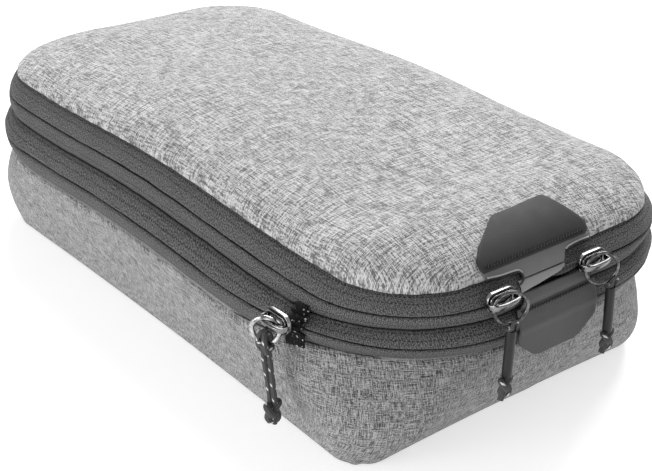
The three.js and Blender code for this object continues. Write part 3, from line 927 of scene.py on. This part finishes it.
# The strip is notched on each side under a corded edge. Points are x and distance up the section.
LEFT_NOTCH = [
    (-20.3, 4.1), (-17.8, 4.4), (-16.1, 5.6), (-15.8, 7.3), (-16.9, 8.9), (-20.5, 9.4), (-26.6, 9.7),
    (-33, 10.6),
]
RIGHT_NOTCH = [(7.6, 5.6), (8.8, 7.7), (10.6, 9.7), (12.6, 10.4), (15.9, 10.7), (20, 10.8), (24.4, 10.5)]
PIPING_OFF, CORD_THICK, EDGE_THICK = 0.9, 0.42 * MM, 0.38 * MM
lid_strip = cut_sheet(
    "lid_tab_strip", lid_section,
    [(5.1, -16.3, 5.1, 7.0), (6.2, -15.7, 6.4, 8.0), (7.4, -15.7, 7.8, 8.9), (8.8, -16.6, 9.4, 10.3),
     (9.4, -20, 10.4, 13), (9.8, -26.6, 10.9, 17), (10.9, -33.6, 11.4, 24.4), (12.5, -35.3, 12.6, 24.6),
     (14.5, -35.4, 14, 24.8)], 0.7, 0.2,
)
fitted(lid_strip, strip_sheet, "lid", "tab_sheet")
lid_patch = cut_sheet(
    "lid_tab_shield", lid_section,
    [(12.9, -34.4, 12.7, 22.5), (14.0, -35.2, 13.6, 24.4), (15.5, -35.6, 15.2, 25), (18, -35.3, 17.6, 25),
     (23.2, -30.2, 23, 22.2), (33.6, -15.2, 34.6, 16.6), (34.6, -13.2, 35.6, 15)], 0.8, 0.9,
)
fitted(lid_patch, shield_sheet, "lid", "tab_sheet", "lid_tab")
zigzag("lid_tab_zigzag", lid_section, (-33.4, 14.7), (21.4, 14.3), 1.9, "lid")
pale_edge = sheet_finish("pale_turned_edge", 0.30, 0.50)
for name, corners, radius, material in (
    ("left_notch_cord", LEFT_NOTCH[3:], CORD_THICK, pale_edge),
    ("right_notch_cord", RIGHT_NOTCH[2:], CORD_THICK, pale_edge),
    ("left_notch_edge", [(x - 0.3, a - 0.8) for x, a in LEFT_NOTCH], EDGE_THICK, grosgrain.material),
    ("right_notch_edge", [(x + 0.3, a - 0.8) for x, a in RIGHT_NOTCH[2:]], EDGE_THICK, grosgrain.material),
):
    piping(name, lid_section, corners, PIPING_OFF, radius, material, "lid")

front_strip = cut_sheet(
    "front_strip", flap_section, [(0.0, -17, 0.6, 17), (2.0, -18, 2, 18), (7.5, -21.5, 7.5, 21)], 0.7, 0.1,
)
fitted(front_strip, lower_strip_sheet, "mid_band", "tab_sheet")
front_patch = cut_sheet(
    "front_flap_sheet", flap_section,
    [(5.6, -22.4, 5.4, 22), (20.5, -22.6, 20.5, 22.3), (22, -21.8, 22, 21.6), (28.6, -14, 28.6, 13.6),
     (29.8, -10.5, 29.8, 10)], 0.7, 0.4,
)
fitted(front_patch, patch_sheet, "mid_band", "tab_sheet", "front_flap")
zigzag("front_flap_zigzag", flap_section, (-20.8, 7.1), (20.4, 6.8), 1.4, "mid_band")


# ---- Mouth lining ----
# Under the lid's strip a turned wedge of pale lining shows at the left of the open mouth, and the ends of
# the black coils show at its right.
# The coil ends are a thick black stub that also stands in for the dark inside of the mouth, as painted
# shade.
def mouth_section(x):
    """The front of the cube behind the mouth at one x, going up."""
    heights = ((74.0, 1.0), (75.5, 1.6), (77, 1.9), (79, 1.8), (80.5, 1.5))
    return np.array([(front_y(x, z, out), z) for z, out in heights])


mouth = cut_sheet("mouth_lining", mouth_section, [(0.4, -18.5, 3.4, 7.2), (5.6, -18.5, 5.4, 7.4)], 0.3, 0.0)
fitted(mouth, sheet_finish("smooth_lining", 0.20, 0.31), "lid", "lining")
COIL_ROUTE = ((-3, 0.2, 75.2), (2, 0.9, 76.2), (8, 1.3, 77), (14, 0.4, 76))  # x, step out, height
# The stub swells in its middle: partly the coil ends, partly painted shade of the mouth's dark inside.
coil_ends_and_mouth_shade = tube(
    "main_zip_coil_ends_and_mouth_shade",
    smooth_path([mm(x, front_y(x, 76, out), z) for x, out, z in COIL_ROUTE], 8),
    lambda t: (0.5 + 1.2 * math.sin(math.pi * min(1, t * 1.1)) ** 0.7) * MM, 10,
)
fitted(coil_ends_and_mouth_shade, coil.material, "mid_band", "nylon_coil")


# ---- Compression zip end tab ----
# A short black woven tab with speckled bar-tacks covers the end of the compression zip.
webbing = Finish("black_webbing", Roughness=0.8, Specular_IOR_Level=0.2)
webbing_at = webbing.node("ShaderNodeTexCoord", output="Object")
webbing_xyz = webbing.node("ShaderNodeSeparateXYZ", {}, [webbing_at])
RIBS_A_METRE = 700
ribs = webbing_xyz.output(2).wave(RIBS_A_METRE) * webbing_xyz.output(1).wave(RIBS_A_METRE)
flecks = webbing.noise(webbing_at, 700.0, 1.0).between(0.66, 0.72)
webbing.feed(Base_Color=webbing.mix(flecks, webbing.mix(ribs, 0.003, 0.014), 0.55))
webbing.bump(ribs, 0.0003)
TAB_FOOT, TAB_TOP, TAB_FRONT, TAB_BACK = 51.6, 70.5, -129, -116.4
tab_rows = []
for z in np.linspace(TAB_FOOT, TAB_TOP, 20):
    hem = loop_at(max(z, 57), 2.0) if z < 66 else loop_at(z, 1.4)
    hem[:, 2] = z
    hem = side_lift(hem)
    tab_rows.append(hem[(hem[:, 0] < 0) & (hem[:, 1] < TAB_BACK) & (hem[:, 1] > TAB_FRONT)])
count = min(len(row) for row in tab_rows)
bm = bmesh.new()
grid = [[bm.verts.new(Vector(p) * MM) for p in row[:count]] for row in tab_rows]
for i in range(len(grid) - 1):
    for k in range(count - 1):
        bm.faces.new((grid[i][k], grid[i][k + 1], grid[i + 1][k + 1], grid[i + 1][k]))
end_tab = shown("compression_zip_end_cover", bm)
bpy.context.view_layer.objects.active = end_tab
wall = end_tab.modifiers.new("wall", "SOLIDIFY")
wall.thickness, wall.offset = 1.0 * MM, 0
bpy.ops.object.modifier_apply(modifier="wall")
fitted(end_tab, webbing.material, "mid_band", "black_webbing", "compression_zip_end_tab")


# ---- Sliders and rings ----
# Each slider is a cast gunmetal body with a broad bail, and a round wire ring swings from the bail.
gunmetal = Finish("black_nickel", Metallic=1.0, Roughness=0.25)
metal_at = gunmetal.node("ShaderNodeTexCoord", output="Object")
metal_worn = gunmetal.noise(metal_at, 420.0, 3.0)
# Pointiness lightens the sharp edges of the cast bodies: painted highlights along them, over a random worn
# tone.
edge = gunmetal.node("ShaderNodeNewGeometry", output="Pointiness").between(0.51, 0.56)
gunmetal.feed(
    Base_Color=gunmetal.mix((edge * 0.8 + metal_worn * 0.3).between(0.25, 1.0), 0.02, 0.5),
    Roughness=metal_worn * 0.15 + 0.16,
)
gunmetal.bump(gunmetal.noise(metal_at, 1500.0), 0.00003)
dark_wire = Finish("black_nickel_wire", Metallic=1.0, Roughness=0.2)
wire_worn = dark_wire.noise(dark_wire.node("ShaderNodeTexCoord", output="Object"), 500.0, 3.0)
dark_wire.feed(
    Base_Color=dark_wire.mix(wire_worn.between(0.3, 0.75), 0.03, 0.22), Roughness=wire_worn * 0.15 + 0.1
)


def apply_all(piece):
    bpy.context.view_layer.objects.active = piece
    for modifier in list(piece.modifiers):
        bpy.ops.object.modifier_apply(modifier=modifier.name)


def slider_parts(name):
    """A slider at the origin: its travel is along X and it faces -Y."""
    bpy.ops.object.select_all(action="DESELECT")
    bpy.ops.mesh.primitive_cube_add(size=1, location=mm(0, -0.95, 0), scale=mm(15.2, 1.7, 8.8))
    body = bpy.context.object
    bpy.ops.object.transform_apply(location=True, rotation=True, scale=True)
    bpy.ops.object.mode_set(mode="EDIT")
    bm = bmesh.from_edit_mesh(body.data)
    for e in bm.edges:
        along = (e.verts[0].co - e.verts[1].co).normalized()
        e.select = abs(along.y) > 0.9
    bmesh.update_edit_mesh(body.data)
    bpy.ops.mesh.select_mode(type="EDGE")
    bpy.ops.mesh.bevel(offset=3.6 * MM, segments=6)
    bm = bmesh.from_edit_mesh(body.data)
    for f in bm.faces:
        f.select = f.normal.y < -0.9
    bmesh.update_edit_mesh(body.data)
    bpy.ops.mesh.inset(thickness=1.1 * MM)
    bpy.ops.mesh.extrude_region_move(TRANSFORM_OT_translate={"value": (0, -0.7 * MM, 0)})
    bpy.ops.mesh.inset(thickness=0.9 * MM)
    bpy.ops.mesh.extrude_region_move(TRANSFORM_OT_translate={"value": (0, 0.35 * MM, 0)})
    bpy.ops.object.mode_set(mode="OBJECT")
    round_edges = body.modifiers.new("round", "BEVEL")
    round_edges.width, round_edges.segments = 0.25 * MM, 3
    apply_all(body)

    bpy.ops.object.select_all(action="DESELECT")
    bpy.ops.mesh.primitive_uv_sphere_add(segments=24, ring_count=14, radius=1, location=mm(0, -1.9, -0.4))
    hump = bpy.context.object
    hump.scale = mm(4.6, 1.7, 2.9)
    bpy.ops.object.transform_apply(location=True, rotation=True, scale=True)

    half = [(-7.0, -1.0), (-7.3, -3.2), (-6.4, -5.2), (-4.0, -6.1)]
    arch = half + [(0, -6.4)] + [(-x, y) for x, y in reversed(half)]
    line = smooth_path([mm(x, y, -0.4) for x, y in arch], 5)
    bm = bmesh.new()
    previous = None
    for i, p in enumerate(line):
        t = i / (len(line) - 1)
        wide = (1.0 + 0.25 * math.sin(math.pi * t)) * MM
        slope = 0.5 * MM * math.sin(math.pi * t)
        pair = (bm.verts.new(p + Vector((0, -slope, wide))), bm.verts.new(p + Vector((0, slope, -wide))))
        if previous:
            bm.faces.new((previous[0], previous[1], pair[1], pair[0]))
        previous = pair
    bail = shown("bail", bm)
    thick = bail.modifiers.new("thick", "SOLIDIFY")
    thick.thickness, thick.offset = 1.3 * MM, 0
    soft = bail.modifiers.new("soft", "BEVEL")
    soft.width, soft.segments, soft.limit_method = 0.24 * MM, 3, "ANGLE"
    apply_all(bail)

    bpy.ops.object.select_all(action="DESELECT")
    for part in (body, hump, bail):
        part.select_set(True)
    bpy.context.view_layer.objects.active = body
    bpy.ops.object.join()
    bpy.ops.object.shade_smooth_by_angle(angle=math.radians(35))
    body.name = name
    return body


def ring_part(name, radius, wire):
    """A closed ring of slightly flattened wire, at the origin in its own plane."""
    bpy.ops.object.select_all(action="DESELECT")
    bpy.ops.mesh.primitive_torus_add(
        major_radius=radius * MM, minor_radius=wire * MM, major_segments=72, minor_segments=14,
    )
    ring = bpy.context.object
    bpy.ops.object.mode_set(mode="EDIT")
    bpy.ops.mesh.select_all(action="SELECT")
    bpy.ops.transform.resize(value=(1, 1, 0.82))
    bpy.ops.object.mode_set(mode="OBJECT")
    bpy.ops.object.shade_smooth()
    ring.name = name
    return ring


bright_wire = Finish("bright_steel_wire", Metallic=1.0, Roughness=0.24)
steel_worn = bright_wire.noise(bright_wire.node("ShaderNodeTexCoord", output="Object"), 300.0, 3.0)
bright_wire.feed(
    Base_Color=bright_wire.mix(steel_worn.between(0.35, 0.7), 0.12, 0.8), Roughness=steel_worn * 0.2 + 0.12
)
SLIDER_SHIFT = {"main_left": mm(0, 0, 0), "main_right": mm(-2, 0, 0), "compression": mm(0, -5.5, 3.4)}
for name, quarter, yaw, radius, wire, finish in (
    ("main_left", 0, -25, 7.1, 0.72, dark_wire), ("main_right", 0, -25, 7.1, 0.72, dark_wire),
    ("compression", -90, 38, 5.7, 1.15, bright_wire),
):
    low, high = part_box(name + "_slider")
    turned = Matrix.Rotation(math.radians(quarter), 4, "Z")
    plate = Vector(((low.x + high.x) / 2, high.y, (low.z + high.z) / 2))
    if quarter:
        plate = Vector((high.x, (low.y + high.y) / 2, (low.z + high.z) / 2))
    slider = slider_parts(name + "_cast_slider")
    slider.data.transform(Matrix.Translation(plate + SLIDER_SHIFT[name]) @ turned)
    fitted(slider, gunmetal.material, name + "_slider", "gunmetal", name + "_slider")
    ring = ring_part(name + "_wire_ring", radius, wire)
    spun = turned @ Matrix.Rotation(math.radians(yaw), 4, "Z") @ Matrix.Rotation(math.pi / 2, 4, "X")
    hung = ring_foot(name) + mm(0, 0, radius)
    ring.data.transform(Matrix.Translation(hung) @ spun)
    fitted(ring, finish.material, name + "_ring", "gunmetal", name + "_ring")
